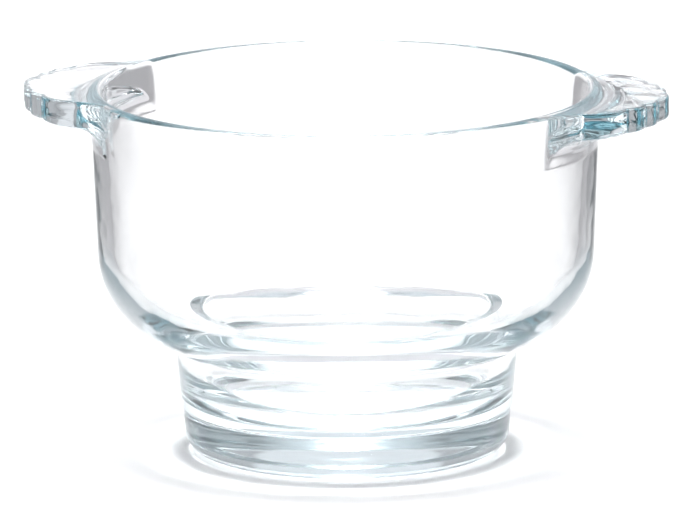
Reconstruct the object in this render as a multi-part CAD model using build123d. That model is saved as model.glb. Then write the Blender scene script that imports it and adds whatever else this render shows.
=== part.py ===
"""Punch bowl: a clear pressed-glass bowl on a drum-shaped foot, with two scalloped lug handles.

Millimetres, +Z up. The origin is the centre of the base, and the handles point along +X and -X.
Every round surface is turned about the Z axis, so its outline is drawn as (radius, height) points.
"""
from build123d import *
import os
from math import acos, cos, degrees, radians, sin, tan

# Bowl, outside
HEIGHT = 173.9               # base to rim crest
RIM_RADIUS = 120.0           # widest, just under the rim
RIM_ROUNDING = 2.85          # the rim is a full round, twice this thick
OUTER_DRAFT = 2.2            # degrees that the outer wall leans in on its way down
OUTER_WALL_FOOT = 95.1       # height where the straight wall turns into the shoulder
SHOULDER_RADIUS = 42.4       # first, tighter arc of the shoulder
SHOULDER_TURN = 33.2         # degrees from upright where the second arc takes over
BELLY_RADIUS = 54.2          # second, flatter arc, down to the neck
NECK_RADIUS = 80.8           # where the shoulder meets the foot

# Bowl, inside
INNER_DRAFT = 3.6            # degrees; the wall thickens on its way down
INNER_WALL_FOOT = 98.0       # height where the straight inner wall turns into its shoulder
INNER_SHOULDER_RADIUS = 34.0
INNER_SHOULDER_TURN = 61.0   # degrees from upright at the end of the inner shoulder
WELL_LIP_ROUNDING = 5.0      # soft edge where the inside drops into the well
WELL_MOUTH_RADIUS = 70.0     # well radius at the height of the neck
WELL_DRAFT = 5.0             # degrees
WELL_CORNER = 24.0           # rounding between the well's wall and its floor
WELL_FLOOR = 22.0            # height of the floor, so the base is this thick

# Foot
STEP_HEIGHT = 22.0           # a small step runs round the foot at this height
STEP_RADIUS = 78.4           # foot radius just above the step
STEP_DEPTH = 1.1             # how far the foot steps in below it
BASE_RADIUS = 77.0           # foot radius above the bottom rounding
BASE_ROUNDING = 10.9         # bottom outer corner
RECESS_RADIUS = 58.0         # shallow hollow under the base, inside the ring that it rests on
RECESS_DEPTH = 1.2

# Handles: flat lugs with a scalloped edge, carried by a cove under their root
LUG_CENTRE = 96.0            # from the Z axis to the centre of the scalloped edge
LUG_NOTCH_RADIUS = 55.0      # from that centre to the notches between scallops
LUG_NOTCHES = (65.0, 39.0, 25.0, 12.0)   # degrees to each side of the handle's axis
SCALLOP_BULGE = 0.16         # height of a scallop over its own width
LUG_ROOT = (98.0, 61.3)      # corner of the lug's outline, inside the bowl's wall
LUG_DROP = 0.5               # top of the lug below the rim crest
LUG_ROOT_THICKNESS = 13.0    # at the bowl's wall
LUG_TIP_THICKNESS = 10.4
LUG_REACH = 36.0             # from the wall to the tip
COVE_DROP = 25.0             # lowest point of the cove below the rim crest
COVE_RADIUS = 13.0
COVE_LEDGE = 0.8             # width of the cove's bottom edge

RIM_CENTRE = (RIM_RADIUS - RIM_ROUNDING, HEIGHT - RIM_ROUNDING)


def on_circle(centre, radius, angle):
    """The point of a circle at an angle in degrees: 0 is outwards and 90 is up."""
    return (centre[0] + radius * cos(radians(angle)), centre[1] + radius * sin(radians(angle)))


def down_wall(start, draft, height):
    """Where a wall that leans in by its draft has come down to a height."""
    return (start[0] - (start[1] - height) * tan(radians(draft)), height)


OUTER_WALL_TOP = on_circle(RIM_CENTRE, RIM_ROUNDING, -OUTER_DRAFT)
OUTER_WALL_END = down_wall(OUTER_WALL_TOP, OUTER_DRAFT, OUTER_WALL_FOOT)
SHOULDER_CENTRE = on_circle(OUTER_WALL_END, -SHOULDER_RADIUS, -OUTER_DRAFT)
SHOULDER_END = on_circle(SHOULDER_CENTRE, SHOULDER_RADIUS, -SHOULDER_TURN)
BELLY_CENTRE = on_circle(SHOULDER_END, -BELLY_RADIUS, -SHOULDER_TURN)
BELLY_TURN = degrees(acos((NECK_RADIUS - BELLY_CENTRE[0]) / BELLY_RADIUS))
NECK = on_circle(BELLY_CENTRE, BELLY_RADIUS, -BELLY_TURN)
INNER_WALL_TOP = on_circle(RIM_CENTRE, RIM_ROUNDING, 180 - INNER_DRAFT)
WELL_MOUTH = (WELL_MOUTH_RADIUS, NECK[1])


def add_arc(centre, radius, start, end):
    """Draws an arc in the current outline, between two angles in degrees."""
    points = [on_circle(centre, radius, angle) for angle in (start, (start + end) / 2, end)]
    ThreePointArc(*points)
    return points[-1]


def add_line(start, end):
    """Draws a straight line in the current outline."""
    Line(start, end)
    return end


def draw_outside():
    """The bowl's outer outline, from the rim crest down to the neck."""
    add_arc(RIM_CENTRE, RIM_ROUNDING, 90, -OUTER_DRAFT)
    add_line(OUTER_WALL_TOP, OUTER_WALL_END)
    add_arc(SHOULDER_CENTRE, SHOULDER_RADIUS, -OUTER_DRAFT, -SHOULDER_TURN)
    add_arc(BELLY_CENTRE, BELLY_RADIUS, -SHOULDER_TURN, -BELLY_TURN)


def draw_inside():
    """The bowl's inner outline, from the rim crest down over the well's lip to the neck."""
    add_arc(RIM_CENTRE, RIM_ROUNDING, 90, 180 - INNER_DRAFT)
    wall_end = add_line(INNER_WALL_TOP, down_wall(INNER_WALL_TOP, INNER_DRAFT, INNER_WALL_FOOT))
    centre = on_circle(wall_end, -INNER_SHOULDER_RADIUS, -INNER_DRAFT)
    shoulder_end = add_arc(centre, INNER_SHOULDER_RADIUS, -INNER_DRAFT, -INNER_SHOULDER_TURN)
    slope = tan(radians(INNER_SHOULDER_TURN))
    well_slope = tan(radians(WELL_DRAFT))
    # The inner slope and the well's wall are two straight lines, which meet in a sharp lip ...
    drop = (shoulder_end[0] - slope * shoulder_end[1] - WELL_MOUTH[0] + well_slope * WELL_MOUTH[1])
    lip_height = drop / (well_slope - slope)
    lip = down_wall(WELL_MOUTH, WELL_DRAFT, lip_height)
    # ... and the rounding takes the same length off both.
    taken = WELL_LIP_ROUNDING * tan(radians(INNER_SHOULDER_TURN - WELL_DRAFT) / 2)
    rounding_start = on_circle(lip, taken, 90 - INNER_SHOULDER_TURN)
    centre = on_circle(rounding_start, WELL_LIP_ROUNDING, -INNER_SHOULDER_TURN)
    add_line(shoulder_end, rounding_start)
    lip_end = add_arc(centre, WELL_LIP_ROUNDING, 180 - INNER_SHOULDER_TURN, 180 - WELL_DRAFT)
    add_line(lip_end, WELL_MOUTH)


def draw_well():
    """The well's outline inside the foot, from its mouth to the middle of its floor."""
    corner_height = WELL_FLOOR + WELL_CORNER
    wall_foot = down_wall(WELL_MOUTH, WELL_DRAFT, corner_height - WELL_CORNER * sin(radians(WELL_DRAFT)))
    centre = on_circle(wall_foot, -WELL_CORNER, -WELL_DRAFT)
    add_line(WELL_MOUTH, wall_foot)
    floor_edge = add_arc(centre, WELL_CORNER, -WELL_DRAFT, -90)
    add_line(floor_edge, (0, WELL_FLOOR))


def draw_foot_outside():
    """The foot's outer outline, from the neck to the middle of the underside."""
    here = add_line(NECK, (STEP_RADIUS, STEP_HEIGHT))
    here = add_line(here, (STEP_RADIUS - STEP_DEPTH, STEP_HEIGHT))
    add_line(here, (BASE_RADIUS, BASE_ROUNDING))
    here = add_arc((BASE_RADIUS - BASE_ROUNDING, BASE_ROUNDING), BASE_ROUNDING, 0, -90)
    add_line(here, (RECESS_RADIUS, 0))
    dome_radius = (RECESS_RADIUS ** 2 + RECESS_DEPTH ** 2) / (2 * RECESS_DEPTH)
    add_arc((0, RECESS_DEPTH - dome_radius), dome_radius, degrees(acos(RECESS_RADIUS / dome_radius)), 90)


def turned(*drawings):
    """Turns the outline that these functions draw about the Z axis."""
    with BuildPart() as part:
        with BuildSketch(Plane.XZ):
            with BuildLine():
                for draw in drawings:
                    draw()
            make_face()
        revolve(axis=Axis.Z)
    return part.part


def bowl():
    """The open bowl, from its rim to the neck."""
    return turned(draw_outside, draw_inside, lambda: add_line(WELL_MOUTH, NECK))


def foot():
    """The drum-shaped foot: a thick base and the wall round the well."""
    axis_line = ((0, RECESS_DEPTH), (0, WELL_FLOOR))
    return turned(draw_well, draw_foot_outside, lambda: add_line(WELL_MOUTH, NECK), lambda: add_line(*axis_line))


def filled_bowl():
    """The bowl's outer shape without its hollow, to trim the handles to."""
    def close_on_axis():
        add_line(NECK, (0, NECK[1]))
        add_line((0, NECK[1]), (0, HEIGHT))
        add_line((0, HEIGHT), (RIM_CENTRE[0], HEIGHT))
    return turned(draw_outside, close_on_axis)


def lug_outline():
    """The handle's plan outline: straight sides at the root and scallops between the notches."""
    angles = list(LUG_NOTCHES) + [-angle for angle in reversed(LUG_NOTCHES)]
    notches = [on_circle((LUG_CENTRE, 0), LUG_NOTCH_RADIUS, angle) for angle in angles]
    with BuildSketch() as sketch:
        with BuildLine():
            Line(LUG_ROOT, notches[0])
            for start, end in zip(notches, notches[1:]):
                width = (Vector(*end) - Vector(*start)).length
                SagittaArc(start, end, SCALLOP_BULGE * width)
            Line(notches[-1], (LUG_ROOT[0], -LUG_ROOT[1]))
            Line((LUG_ROOT[0], -LUG_ROOT[1]), LUG_ROOT)
        make_face()
    return sketch.sketch


def lug_slab(wall):
    """A slab that is thicker at the wall than at the tip, wide enough for the whole lug."""
    top = HEIGHT - LUG_DROP
    slope = (LUG_ROOT_THICKNESS - LUG_TIP_THICKNESS) / LUG_REACH
    inner, outer = LUG_ROOT[0] - 5, wall + LUG_REACH + 5
    corners = [(inner, top), (outer, top)]
    corners += [(x, top - LUG_ROOT_THICKNESS + slope * (x - wall)) for x in (outer, inner)]
    return extrude(Plane.XZ * make_face(Polyline(*corners, close=True)), amount=2 * LUG_ROOT[1], both=True)


def lug_cove(wall):
    """The ring under the lug's root, hollowed to a cove, before it is cut to the lug's width."""
    bottom = HEIGHT - COVE_DROP
    centre = (wall + COVE_LEDGE + COVE_RADIUS, bottom)
    crown = (centre[0], bottom + COVE_RADIUS)
    inner = wall - 5

    def draw():
        add_line((inner, bottom), (wall + COVE_LEDGE, bottom))
        add_arc(centre, COVE_RADIUS, 180, 90)
        add_line(crown, (crown[0], crown[1] + 2))
        add_line((crown[0], crown[1] + 2), (inner, crown[1] + 2))
        add_line((inner, crown[1] + 2), (inner, bottom))
    return turned(draw)


def handle_right():
    """One lug with the cove that carries it, trimmed to the bowl's outer surface."""
    wall = down_wall(OUTER_WALL_TOP, OUTER_DRAFT, HEIGHT - COVE_DROP)[0]
    column = Pos(0, 0, HEIGHT - COVE_DROP - 5) * extrude(lug_outline(), amount=COVE_DROP + 10)
    return (lug_slab(wall) + lug_cove(wall)) & column - filled_bowl()


def build():
    """Every sub-part by its name."""
    right = handle_right()
    return {"bowl": bowl(), "foot": foot(), "handle_right": right, "handle_left": right.rotate(Axis.Z, 180)}


os.makedirs("parts", exist_ok=True)
for name, solid in build().items():
    export_step(solid, f"parts/{name}.step")
    print(name, round(solid.volume), "mm3")
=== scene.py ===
"""Punch bowl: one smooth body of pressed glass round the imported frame, on a pale studio floor."""

import math

import bpy
import numpy as np
from mathutils import Matrix, Vector


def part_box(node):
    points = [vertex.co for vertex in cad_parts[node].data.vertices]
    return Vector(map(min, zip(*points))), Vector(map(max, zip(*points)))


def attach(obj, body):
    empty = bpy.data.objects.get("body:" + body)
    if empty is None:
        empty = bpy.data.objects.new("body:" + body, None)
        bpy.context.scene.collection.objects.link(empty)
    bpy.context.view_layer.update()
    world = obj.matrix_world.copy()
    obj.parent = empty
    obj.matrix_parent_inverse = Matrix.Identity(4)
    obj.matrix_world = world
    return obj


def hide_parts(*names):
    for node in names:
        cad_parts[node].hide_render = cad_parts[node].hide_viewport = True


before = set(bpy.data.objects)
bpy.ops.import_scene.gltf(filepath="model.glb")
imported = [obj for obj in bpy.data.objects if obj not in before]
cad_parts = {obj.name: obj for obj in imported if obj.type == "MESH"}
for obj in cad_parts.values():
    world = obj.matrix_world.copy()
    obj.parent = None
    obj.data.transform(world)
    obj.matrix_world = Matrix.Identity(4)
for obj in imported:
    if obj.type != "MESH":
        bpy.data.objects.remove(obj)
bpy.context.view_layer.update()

# ---------------------------------------------------------------- dimensions, metres and degrees
MM = 0.001
RIM_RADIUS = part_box("bowl")[1][0]
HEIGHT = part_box("bowl")[1][2]
RIM_ROUNDING = 2.85 * MM

# the outside of the bowl: a straight wall, then two arcs, the shoulder and the belly, down to the neck
OUTER_DRAFT = 2.2
OUTER_WALL_FOOT = 95.1 * MM
SHOULDER_RADIUS = 42.4 * MM
SHOULDER_TURN = 33.2
BELLY_RADIUS = 54.2 * MM
NECK_RADIUS = 80.8 * MM

# the inside: a straight wall, an arc, a cone, the rounded lip of the well, and the well in the foot
INNER_DRAFT = 3.6
INNER_WALL_FOOT = 98.0 * MM
INNER_SHOULDER_RADIUS = 34.0 * MM
INNER_SHOULDER_TURN = 61.0
WELL_LIP_ROUNDING = 5.0 * MM
WELL_MOUTH_RADIUS = 70.0 * MM        # at the neck's height
WELL_DRAFT = 5.0
WELL_CORNER = 24.0 * MM
WELL_FLOOR = 22.0 * MM

# the foot, with a small step outside and a shallow recess inside its resting ring
STEP_HEIGHT = 22.0 * MM
STEP_RADIUS = 78.4 * MM
STEP_DEPTH = 1.1 * MM
BASE_RADIUS = 77.0 * MM
BASE_ROUNDING = 10.9 * MM
RECESS_RADIUS = 58.0 * MM
RECESS_DEPTH = 1.2 * MM

# the lug handles: notches on a circle, with a scallop between each two of them
LUG_CENTRE = 96.0 * MM
LUG_NOTCH_RADIUS = 55.0 * MM
LUG_NOTCHES = (65.0, 39.0, 25.0, 12.0)   # angles of the notches each side of the lug's middle
SCALLOP_BULGE = 0.16                 # rise of a scallop, as a share of its chord
LUG_ROOT = (98.0 * MM, 61.3 * MM)    # where the straight side starts, inside the wall
LUG_DROP = 0.5 * MM                  # the flat top's drop under the rim crest
LUG_ROOT_THICKNESS = 13.0 * MM
LUG_TIP_THICKNESS = 10.4 * MM
LUG_REACH = 36.0 * MM                # from the wall out to where the tip's thickness is reached
COVE_DROP = 25.0 * MM                # the cove's foot under the rim crest
COVE_RADIUS = 13.0 * MM

# the softness of the shape
POLISH = 0.45 * MM                   # how far the fire polish softens a corner of the turned outline
EDGE_SOFTNESS = 1.6 * MM             # roundness of a lug's edges
ROOT_SOFTNESS = 1.6 * MM             # roundness of the hollow corner where a lug leaves the wall
CREST_ZONE = 6 * MM                  # depth under the crest over which that hollow corner fades out
CREST_SOFTNESS = 0.05                # share of its roundness that is left at the crest

# how finely the mesh follows the shape
ARC_STEP = 0.25 * MM                 # spacing of the points of an arc
LINE_STEP = 0.1 * MM                 # spacing of the line that the fire polish works on
POLISH_REACH = 4                     # the polish's width each side, in multiples of its softness
FACE_TURN = 4.0                      # a new ring comes once the turned outline has turned this far
FACE_LENGTH = 5 * MM                 # or has run this far
GAP_STEP = 1.0                       # angle between meridians away from the lugs
SAME_PLACE = 1e-6 * MM               # two points of a line that are nearer than this are one point


# ---------------------------------------------------------------- the turned outline
def on_circle(centre, radius, angle):
    """The point of a circle in the outline at an angle in degrees: 0 outwards, 90 up."""
    return (centre[0] + radius * math.cos(math.radians(angle)),
            centre[1] + radius * math.sin(math.radians(angle)))


def arc(centre, radius, start, end):
    """Points along an arc, from one angle to another."""
    count = max(3, int(abs(math.radians(end - start)) * radius / ARC_STEP))
    return [on_circle(centre, radius, angle) for angle in np.linspace(start, end, count)]


def down_wall(start, draft, height):
    """Where a wall that leans in by its draft has come down to a height."""
    return (start[0] - (start[1] - height) * math.tan(math.radians(draft)), height)


RIM_CENTRE = (RIM_RADIUS - RIM_ROUNDING, HEIGHT - RIM_ROUNDING)
WALL_TOP = on_circle(RIM_CENTRE, RIM_ROUNDING, -OUTER_DRAFT)
LUG_TOP = HEIGHT - LUG_DROP
COVE_BOTTOM = HEIGHT - COVE_DROP
HANDLE_ZONE = COVE_BOTTOM - 4 * MM   # the lugs change the outline only above this height


def outer_wall(height):
    """Radius of the plain outer wall at a height."""
    return down_wall(WALL_TOP, OUTER_DRAFT, height)[0]


ROOT_RADIUS = outer_wall(COVE_BOTTOM)
SHOULDER = on_circle(down_wall(WALL_TOP, OUTER_DRAFT, OUTER_WALL_FOOT), -SHOULDER_RADIUS, -OUTER_DRAFT)
BELLY = on_circle(on_circle(SHOULDER, SHOULDER_RADIUS, -SHOULDER_TURN), -BELLY_RADIUS, -SHOULDER_TURN)
BELLY_TURN = math.degrees(math.acos((NECK_RADIUS - BELLY[0]) / BELLY_RADIUS))
NECK_HEIGHT = on_circle(BELLY, BELLY_RADIUS, -BELLY_TURN)[1]


def outside_outline():
    """Corners and arcs of the outside, from the middle of the base up to the handle zone."""
    dome = (RECESS_RADIUS ** 2 + RECESS_DEPTH ** 2) / (2 * RECESS_DEPTH)
    dome_edge = math.degrees(math.acos(RECESS_RADIUS / dome))
    points = arc((0, RECESS_DEPTH - dome), dome, 90, dome_edge)
    points += arc((BASE_RADIUS - BASE_ROUNDING, BASE_ROUNDING), BASE_ROUNDING, -90, 0)
    points += [(STEP_RADIUS - STEP_DEPTH, STEP_HEIGHT), (STEP_RADIUS, STEP_HEIGHT)]
    points += arc(BELLY, BELLY_RADIUS, -BELLY_TURN, -SHOULDER_TURN)
    points += arc(SHOULDER, SHOULDER_RADIUS, -SHOULDER_TURN, -OUTER_DRAFT)
    points += [(outer_wall(HANDLE_ZONE), HANDLE_ZONE)]
    return points


def inside_outline():
    """Corners and arcs of the inside, from the rim crest down to the middle of the well's floor."""
    wall_top = on_circle(RIM_CENTRE, RIM_ROUNDING, 180 - INNER_DRAFT)
    wall_end = down_wall(wall_top, INNER_DRAFT, INNER_WALL_FOOT)
    shoulder = on_circle(wall_end, -INNER_SHOULDER_RADIUS, -INNER_DRAFT)
    end = on_circle(shoulder, INNER_SHOULDER_RADIUS, -INNER_SHOULDER_TURN)
    slope, well_slope = (math.tan(math.radians(a)) for a in (INNER_SHOULDER_TURN, WELL_DRAFT))
    mouth = (WELL_MOUTH_RADIUS, NECK_HEIGHT)
    lip_height = (end[0] - slope * end[1] - mouth[0] + well_slope * mouth[1]) / (well_slope - slope)
    lip = down_wall(mouth, WELL_DRAFT, lip_height)
    taken = WELL_LIP_ROUNDING * math.tan(math.radians(INNER_SHOULDER_TURN - WELL_DRAFT) / 2)
    lip_start = on_circle(lip, taken, 90 - INNER_SHOULDER_TURN)
    lip_centre = on_circle(lip_start, WELL_LIP_ROUNDING, -INNER_SHOULDER_TURN)
    wall_foot_height = WELL_FLOOR + WELL_CORNER * (1 - math.sin(math.radians(WELL_DRAFT)))
    wall_foot = down_wall(mouth, WELL_DRAFT, wall_foot_height)
    corner = on_circle(wall_foot, -WELL_CORNER, -WELL_DRAFT)
    points = arc(RIM_CENTRE, RIM_ROUNDING, 90, 180 - INNER_DRAFT)
    points += arc(shoulder, INNER_SHOULDER_RADIUS, -INNER_DRAFT, -INNER_SHOULDER_TURN)
    points += arc(lip_centre, WELL_LIP_ROUNDING, 180 - INNER_SHOULDER_TURN, 180 - WELL_DRAFT)
    points += arc(corner, WELL_CORNER, -WELL_DRAFT, -90)
    points += [(0, WELL_FLOOR)]
    return points


def resampled(points, spacing):
    """The same line with points at an even spacing."""
    points = np.array(points)
    steps = np.hypot(*np.diff(points, axis=0).T)
    points = points[np.append(True, steps > SAME_PLACE)]
    along = np.append(0, np.cumsum(np.hypot(*np.diff(points, axis=0).T)))
    places = np.linspace(0, along[-1], int(along[-1] / spacing) + 1)
    return np.column_stack([np.interp(places, along, points[:, axis]) for axis in (0, 1)])


def fire_polished(points, softness):
    """The line with its corners softened, as the flame leaves them. Its ends stay where they are."""
    line = resampled(points, LINE_STEP)
    reach = int(POLISH_REACH * softness / LINE_STEP)
    weights = np.exp(-0.5 * (np.arange(-reach, reach + 1) * LINE_STEP / softness) ** 2)
    weights /= weights.sum()
    before = 2 * line[0] - line[reach:0:-1]
    after = 2 * line[-1] - line[-2:-reach - 2:-1]
    padded = np.vstack([before, line, after])
    return np.column_stack([np.convolve(padded[:, axis], weights, "valid") for axis in (0, 1)])


def thinned(line, most_turn, longest):
    """Keeps the points that a smooth surface needs: closer together where the line turns faster."""
    kept = [0]
    headings = np.unwrap(np.arctan2(*np.diff(line, axis=0).T[::-1]))
    steps = np.hypot(*np.diff(line, axis=0).T)
    turn = length = 0.0
    for index in range(1, len(line) - 1):
        turn += abs(headings[index] - headings[index - 1])
        length += steps[index - 1]
        if turn > math.radians(most_turn) or length > longest:
            kept.append(index)
            turn = length = 0.0
    kept.append(len(line) - 1)
    return line[kept]


# ---------------------------------------------------------------- the lugs' plan outline
SIDE_POINTS = 22                     # points along the straight side of a lug
SIDE_START = 0.05                    # share of the side, inside the wall, that has no points
LONG_SCALLOP = 20 * MM
LONG_SCALLOP_POINTS = 18
SHORT_SCALLOP_POINTS = 12
SEEN_DEPTH = 2.5 * MM                # the plan's points are kept from this far inside the wall


def lug_plan():
    """The right lug's outline from above, as (angle about the bowl's axis, radius) pairs."""
    angles = [-a for a in LUG_NOTCHES] + list(reversed(LUG_NOTCHES))
    notches = [Vector(on_circle((LUG_CENTRE, 0), LUG_NOTCH_RADIUS, a)) for a in angles]
    root = Vector((LUG_ROOT[0], -LUG_ROOT[1]))
    plan = [root.lerp(notches[0], t) for t in np.linspace(SIDE_START, 1, SIDE_POINTS)]
    for start, end in zip(notches, notches[1:]):
        chord = end - start
        rise = SCALLOP_BULGE * chord.length
        radius = (chord.length ** 2 / 4 + rise ** 2) / (2 * rise)
        outward = Vector((chord.y, -chord.x)).normalized()
        centre = (start + end) / 2 + outward * (rise - radius)
        half = math.asin(chord.length / 2 / radius)
        count = LONG_SCALLOP_POINTS if chord.length > LONG_SCALLOP else SHORT_SCALLOP_POINTS
        for turn in np.linspace(-half, half, count + 1)[1:]:
            ray = outward.copy()
            ray.rotate(Matrix.Rotation(turn, 2))
            plan.append(centre + radius * ray)
    plan += [Vector((p.x, -p.y)) for p in reversed(plan[:SIDE_POINTS - 1])]
    return [(math.atan2(p.y, p.x), p.length) for p in plan]


def columns():
    """Every meridian of the mesh: its angle, and how far out the lugs reach there."""
    plan = [(a, r) for a, r in lug_plan() if r > ROOT_RADIUS - SEEN_DEPTH]
    edge = plan[-1][0]
    gap = np.linspace(edge, math.pi - edge, int((math.pi - 2 * edge) / math.radians(GAP_STEP)))[1:-1]
    side = plan + [(a, 0.0) for a in gap]
    return side + [(a + math.pi, r) for a, r in side]


# ---------------------------------------------------------------- the outline in the handle zone
def softer_max(a, b, softness):
    """The larger of two values, with the crease between them rounded off."""
    blend = np.maximum(softness - np.abs(a - b), 0) / softness
    return np.maximum(a, b) + blend ** 2 * softness / 4


COVE_CENTRE = (ROOT_RADIUS + COVE_RADIUS, COVE_BOTTOM)
INNERMOST_REACH = ROOT_RADIUS - 3 * MM   # the reach where there is no lug, hidden inside the wall

# Each meridian's surface is found along rays from an eye inside the glass. The rays are aimed at
# places along the lug's nominal outline, closer together towards its edges.
EYE = np.array([RIM_CENTRE[0] - 1.2 * MM, HEIGHT - 8.4 * MM])
RAY_LENGTH = 80 * MM
HALVINGS = 40
LEAST_NOMINAL = ROOT_RADIUS + 0.5 * MM   # the nominal edge isn't nearer to the axis than this
LEAST_EDGE = COVE_BOTTOM + 3 * MM        # and doesn't begin lower than this
FLAT_END = (RIM_CENTRE[0] + 1.6 * MM, LUG_TOP)   # where the flat top gives way to the rim
CREST = (RIM_CENTRE[0], HEIGHT)
COVE_STOPS = 9                           # points of the arc that stands for the cove
COVE_LINE_STEP = 0.02 * MM
COVE_AIMS = 13
WALL_PLACES = (0.3, 0.6, 0.85)
EDGE_PLACES = (0.0, 0.015, 0.03, 0.055, 0.1, 0.2, 0.35, 0.5, 0.65, 0.8, 0.9, 0.945, 0.97, 0.985, 1.0)
TOP_PLACES = (0.015, 0.03, 0.055, 0.1, 0.22, 0.4, 0.6, 0.8, 0.93)
RIM_PLACES = (0.0, 0.3, 0.6)


def lug_underside(out):
    """Height of a lug's underside at a distance from the axis, measured along the lug."""
    slope = (LUG_ROOT_THICKNESS - LUG_TIP_THICKNESS) / LUG_REACH
    return LUG_TOP - LUG_ROOT_THICKNESS + slope * (out - ROOT_RADIUS)


def outside_distance(r, z, angle, reach):
    """Below zero inside the glass of the upper wall or of a lug, above zero outside it."""
    round_rim = np.hypot(r - RIM_CENTRE[0], z - RIM_CENTRE[1]) - RIM_ROUNDING
    plain_wall = (r - outer_wall(z)) * math.cos(math.radians(OUTER_DRAFT))
    wall = np.where(z > WALL_TOP[1], round_rim, plain_wall)
    underside = lug_underside(abs(r * math.cos(angle))) - z
    hollow = COVE_RADIUS - np.hypot(r - COVE_CENTRE[0], z - COVE_CENTRE[1])
    below_cove = np.maximum(r - ROOT_RADIUS, 0) + COVE_BOTTOM - z
    cove = np.where((r < COVE_CENTRE[0]) & (z > COVE_BOTTOM), hollow, below_cove)
    lug = softer_max(r - reach, z - LUG_TOP, EDGE_SOFTNESS)
    lug = softer_max(lug, np.minimum(underside, cove), EDGE_SOFTNESS)
    return -softer_max(-wall, -lug, ROOT_SOFTNESS * np.clip((HEIGHT - z) / CREST_ZONE, CREST_SOFTNESS, 1))


def between(a, b, places):
    """Points on the line from a to b, at the places given as shares of its length."""
    return [(a[0] + (b[0] - a[0]) * t, a[1] + (b[1] - a[1]) * t) for t in places]


def aims_round_lug(nominal):
    """Where the rays of a meridian aim, if the lug's edge is at this nominal distance from the axis."""
    in_cove = min(nominal - ROOT_RADIUS, COVE_RADIUS)
    cove_height = COVE_BOTTOM + math.sqrt(COVE_RADIUS ** 2 - (COVE_RADIUS - in_cove) ** 2)
    low = (nominal, max(min(lug_underside(nominal), cove_height), LEAST_EDGE))
    high = (nominal, LUG_TOP)
    cove_end = math.degrees(math.acos(1 - in_cove / COVE_RADIUS))
    hollow = [on_circle(COVE_CENTRE, COVE_RADIUS, 180 - a) for a in np.linspace(0, cove_end, COVE_STOPS)]
    hollow = resampled(hollow + [low], COVE_LINE_STEP)
    aims = between((outer_wall(HANDLE_ZONE), HANDLE_ZONE), (ROOT_RADIUS, COVE_BOTTOM), WALL_PLACES)
    aims += list(hollow[np.linspace(0, len(hollow) - 1, COVE_AIMS).astype(int)][:-1])
    aims += between(low, high, EDGE_PLACES)
    aims += between(high, FLAT_END, TOP_PLACES)
    aims += between(FLAT_END, CREST, RIM_PLACES)
    return np.array(aims)


def handle_zone(angle, reach):
    """The outside of one meridian from the handle zone's foot up to the rim crest."""
    reach = max(reach, INNERMOST_REACH)
    rays = aims_round_lug(max(reach, LEAST_NOMINAL)) - EYE
    rays /= np.hypot(*rays.T)[:, None]
    near, far = np.zeros(len(rays)), np.full(len(rays), RAY_LENGTH)
    for _ in range(HALVINGS):
        middle = (near + far) / 2
        spots = EYE + rays * middle[:, None]
        outside = outside_distance(spots[:, 0], spots[:, 1], angle, reach) > 0
        near, far = np.where(outside, near, middle), np.where(outside, middle, far)
    return EYE + rays * near[:, None]


# ---------------------------------------------------------------- the glass
REFRACTIVE_INDEX = 1.52
ABSORPTION_COLOR = (0.15, 0.8, 0.93, 1.0)   # aqua
ABSORPTION_DENSITY = 1.1             # so weak that the tint shows only in the thick parts
WAVE_SCALE = 60.0                    # waves per metre of the pressed surface's unevenness
WAVE_HEIGHT = 0.08 * MM
WAVE_DETAIL = 1.0


def glass_mesh():
    """One closed mesh: every meridian runs up the outside, round the rim or a lug, and down inside."""
    lower = thinned(fire_polished(outside_outline(), POLISH), FACE_TURN, FACE_LENGTH)[1:]
    inner = thinned(fire_polished(inside_outline(), POLISH), FACE_TURN, FACE_LENGTH)[:-1]
    meridians = [(angle, np.vstack([lower, handle_zone(angle, reach), inner]))
                 for angle, reach in columns()]
    vertices = [(r * math.cos(angle), r * math.sin(angle), z)
                for angle, outline in meridians for r, z in outline]
    rows, count = len(meridians[0][1]), len(meridians)
    base_centre, floor_centre = len(vertices), len(vertices) + 1
    vertices += [(0, 0, RECESS_DEPTH), (0, 0, WELL_FLOOR)]
    strips, caps = [], []
    for column in range(count):
        here, there = column * rows, (column + 1) % count * rows
        strips += [(here + row, there + row, there + row + 1, here + row + 1) for row in range(rows - 1)]
        caps += [(base_centre, there, here), (floor_centre, here + rows - 1, there + rows - 1)]
    mesh = bpy.data.meshes.new("punch_bowl_glass")
    mesh.from_pydata(vertices, [], strips + caps)
    mesh.validate()
    mesh.shade_smooth()
    return mesh


def glass_material():
    """Clear soda-lime glass: faint aqua in the thick parts, and a pressed surface that isn't quite even."""
    material = bpy.data.materials.new("pressed_glass")
    material.use_nodes = True
    nodes, links = material.node_tree.nodes, material.node_tree.links
    shader = nodes["Principled BSDF"]
    shader.inputs["Base Color"].default_value = (1.0, 1.0, 1.0, 1.0)
    shader.inputs["Roughness"].default_value = 0.0
    shader.inputs["IOR"].default_value = REFRACTIVE_INDEX
    shader.inputs["Transmission Weight"].default_value = 1.0
    absorption = nodes.new("ShaderNodeVolumeAbsorption")
    absorption.inputs["Color"].default_value = ABSORPTION_COLOR
    absorption.inputs["Density"].default_value = ABSORPTION_DENSITY
    links.new(absorption.outputs["Volume"], nodes["Material Output"].inputs["Volume"])
    waves = nodes.new("ShaderNodeTexNoise")
    waves.inputs["Scale"].default_value = WAVE_SCALE
    waves.inputs["Detail"].default_value = WAVE_DETAIL
    links.new(nodes.new("ShaderNodeTexCoord").outputs["Object"], waves.inputs["Vector"])
    unevenness = nodes.new("ShaderNodeBump")
    unevenness.inputs["Strength"].default_value = 1.0
    unevenness.inputs["Distance"].default_value = WAVE_HEIGHT
    links.new(waves.outputs["Fac"], unevenness.inputs["Height"])
    links.new(unevenness.outputs["Normal"], shader.inputs["Normal"])
    return material


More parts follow.
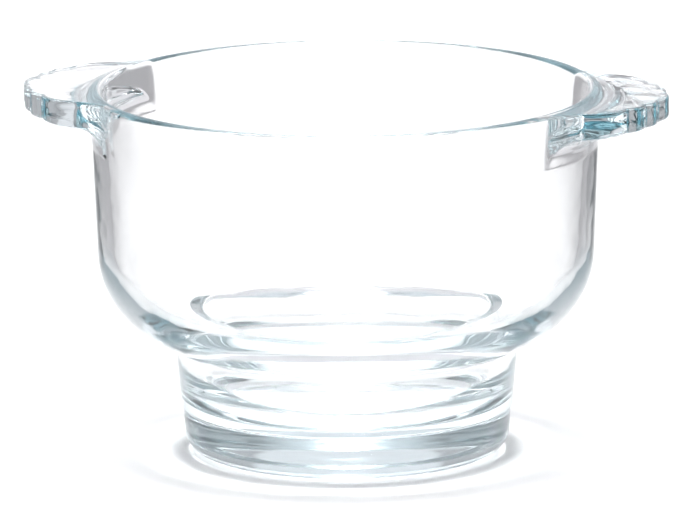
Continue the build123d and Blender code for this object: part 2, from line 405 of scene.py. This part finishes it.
def add_glass():
    """The whole bowl in one piece, in place of the four nodes that the glass is divided into."""
    piece = bpy.data.objects.new("punch_bowl_glass", glass_mesh())
    bpy.context.collection.objects.link(piece)
    piece.data.materials.append(glass_material())
    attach(piece, "root")
    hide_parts("bowl", "foot", "handle_right", "handle_left")


# ---------------------------------------------------------------- the studio
VIEW_AZIMUTH = 9.4                   # the camera stands in front and a little to the right of the bowl
VIEW_ELEVATION = 12.13
VIEW_DISTANCE = 4.7
VIEW_FAR = 50.0
VIEW_ROLL = -0.4
VIEW_WIDTH = 330.3 * MM              # width of the picture at the bowl's axis
VIEW_AIM = 87.3 * MM                 # height of the aim on the bowl's axis
SHIFT_RIGHT = 0.0054                 # the aim's place left of the picture's middle, in picture widths
SHIFT_UP = 0.0060                    # and its place below the middle

FLOOR_REACH = 8.0                    # from the bowl to each edge of the floor
FLOOR_GAP = 0.2 * MM                 # the film of air under the resting ring
FLOOR_TONE = 0.92
FLOOR_ROUGHNESS = 0.9
FLOOR_GLOSS = 0.1

# Levels are brightnesses, and each changes to the next between two edges. Front and back edges are
# cosines of the level angle from straight behind the bowl. The other edges are sines of the elevation.
ROOM_COLOR = (0.97, 0.96, 1.0, 1.0)  # cool white
ROOM_LEVEL = 0.50                    # light grey side walls
FRONT_LEVEL = 0.10                   # the dark end of the room, behind the camera
FRONT_EDGES = (-0.85, -0.3)
BACK_LEVEL = 0.88                    # the lit back wall
BACK_EDGES = (0.85, 0.92)
UPPER_BACK_EDGES = (0.5, 0.75)       # it is wider above
UPPER_LEVEL = 0.10                   # the dark upper part of the other walls
UPPER_EDGES = (0.42, 0.55)
TOP_LEVEL = 0.75                     # the white ceiling
TOP_EDGES = (0.78, 0.88)
ABOVE_ONE = 1.0001                   # keeps the level part of a direction above zero straight up

STRIP_SIZE = (0.46, 5.0)             # the long softbox over the table
STRIP_HEIGHT = 0.5
STRIP_SPREAD = 22.0
STRIP_POWER = 6.83
STRIP_BACK = 0.3                     # its middle is this far behind the bowl

MOST_BOUNCES = 64                    # enough for the thick base not to go black
MOST_GLASS_BOUNCES = 48


def toward_view(across, away, height):
    """A point of the room given from the camera's side: across to its right, away from it, up."""
    turn = math.radians(VIEW_AZIMUTH)
    return Vector((across * math.cos(turn) - away * math.sin(turn),
                   across * math.sin(turn) + away * math.cos(turn), height))


def add_floor():
    """A plain pale floor, just under the bowl's resting ring."""
    mesh = bpy.data.meshes.new("studio_floor")
    corners = [(x * FLOOR_REACH, y * FLOOR_REACH, 0) for x, y in ((-1, -1), (1, -1), (1, 1), (-1, 1))]
    mesh.from_pydata(corners, [], [(0, 1, 2, 3)])
    floor = bpy.data.objects.new("studio_floor", mesh)
    floor.location.z = -FLOOR_GAP
    bpy.context.collection.objects.link(floor)
    material = bpy.data.materials.new("pale_floor")
    material.use_nodes = True
    shader = material.node_tree.nodes["Principled BSDF"]
    shader.inputs["Base Color"].default_value = (FLOOR_TONE, FLOOR_TONE, FLOOR_TONE, 1.0)
    shader.inputs["Roughness"].default_value = FLOOR_ROUGHNESS
    shader.inputs["Specular IOR Level"].default_value = FLOOR_GLOSS
    mesh.materials.append(material)


def math_node(tree, operation, *values):
    """The result of an operation on numbers and on other nodes' results."""
    node = tree.nodes.new("ShaderNodeMath")
    node.operation = operation
    for socket, value in zip(node.inputs, values):
        if isinstance(value, bpy.types.NodeSocket):
            tree.links.new(value, socket)
        else:
            socket.default_value = value
    return node.outputs[0]


def along_node(tree, direction, axis):
    """How far a direction points along an axis."""
    node = tree.nodes.new("ShaderNodeVectorMath")
    node.operation = "DOT_PRODUCT"
    tree.links.new(direction, node.inputs[0])
    node.inputs[1].default_value = axis
    return node.outputs["Value"]


def ramp_node(tree, value, edges, low, high):
    """A smooth change from low to high while a value goes from one edge to the other."""
    node = tree.nodes.new("ShaderNodeMapRange")
    node.interpolation_type = "SMOOTHSTEP"
    tree.links.new(value, node.inputs["Value"])
    for name, number in zip(("From Min", "From Max", "To Min", "To Max"), (*edges, low, high)):
        node.inputs[name].default_value = number
    return node.outputs[0]


def add_world():
    """The room: grey side walls, dark towards the front and above, a lit back wall and a white ceiling."""
    world = bpy.data.worlds.new("studio")
    bpy.context.scene.world = world
    world.use_nodes = True
    tree = world.node_tree
    direction = tree.nodes.new("ShaderNodeTexCoord").outputs["Generated"]
    away = along_node(tree, direction, toward_view(0, 1, 0))
    up = along_node(tree, direction, (0, 0, 1))
    up_squared = math_node(tree, "MULTIPLY", up, up)
    level_part = math_node(tree, "SQRT", math_node(tree, "SUBTRACT", ABOVE_ONE, up_squared))
    facing = math_node(tree, "DIVIDE", away, level_part)
    sides = ramp_node(tree, facing, FRONT_EDGES, FRONT_LEVEL, ROOM_LEVEL)
    lower = math_node(tree, "MAXIMUM", sides, ramp_node(tree, facing, BACK_EDGES, 0, BACK_LEVEL))
    upper = ramp_node(tree, facing, UPPER_BACK_EDGES, UPPER_LEVEL, BACK_LEVEL)
    upper_share = ramp_node(tree, up, UPPER_EDGES, 0, 1)
    lower_share = math_node(tree, "SUBTRACT", 1, upper_share)
    walls = math_node(tree, "ADD", math_node(tree, "MULTIPLY", lower, lower_share),
                      math_node(tree, "MULTIPLY", upper, upper_share))
    ceiling = ramp_node(tree, up, TOP_EDGES, 0, TOP_LEVEL)
    background = tree.nodes["Background"]
    background.inputs["Color"].default_value = ROOM_COLOR
    tree.links.new(math_node(tree, "MAXIMUM", walls, ceiling), background.inputs["Strength"])


def add_light():
    """A long softbox over the table, from far in front of the bowl to far behind it."""
    data = bpy.data.lights.new("softbox", "AREA")
    data.shape = "RECTANGLE"
    data.size, data.size_y = STRIP_SIZE
    data.spread = math.radians(STRIP_SPREAD)
    data.energy = STRIP_POWER
    lamp = bpy.data.objects.new("softbox", data)
    lamp.location = toward_view(0, STRIP_BACK, STRIP_HEIGHT)
    lamp.rotation_euler = (0, 0, math.radians(VIEW_AZIMUTH))
    bpy.context.collection.objects.link(lamp)


def add_camera():
    """A long lens far away, so that the bowl is seen nearly without perspective."""
    data = bpy.data.cameras.new("photo_view")
    camera = bpy.data.objects.new("photo_view", data)
    bpy.context.collection.objects.link(camera)
    bpy.context.scene.camera = camera
    elevation = math.radians(VIEW_ELEVATION)
    back = toward_view(0, -math.cos(elevation), math.sin(elevation))
    place = Matrix.Translation(Vector((0, 0, VIEW_AIM)) + back * VIEW_DISTANCE)
    roll = Matrix.Rotation(math.radians(VIEW_ROLL), 4, "Z")
    camera.matrix_world = place @ back.to_track_quat("Z", "Y").to_matrix().to_4x4() @ roll
    data.lens = data.sensor_width * VIEW_DISTANCE / VIEW_WIDTH
    data.shift_x = SHIFT_RIGHT
    data.shift_y = SHIFT_UP
    data.clip_end = VIEW_FAR


def set_light_paths():
    """Lets light through the whole depth of the glass and on to the floor, neither blurred nor clamped."""
    cycles = bpy.context.scene.cycles
    cycles.max_bounces = MOST_BOUNCES
    cycles.glossy_bounces = MOST_GLASS_BOUNCES
    cycles.transmission_bounces = MOST_GLASS_BOUNCES
    cycles.sample_clamp_indirect = 0
    cycles.blur_glossy = 0


add_glass()
add_floor()
add_world()
add_light()
add_camera()
set_light_paths()
bpy.context.scene.view_settings.view_transform = "Standard"
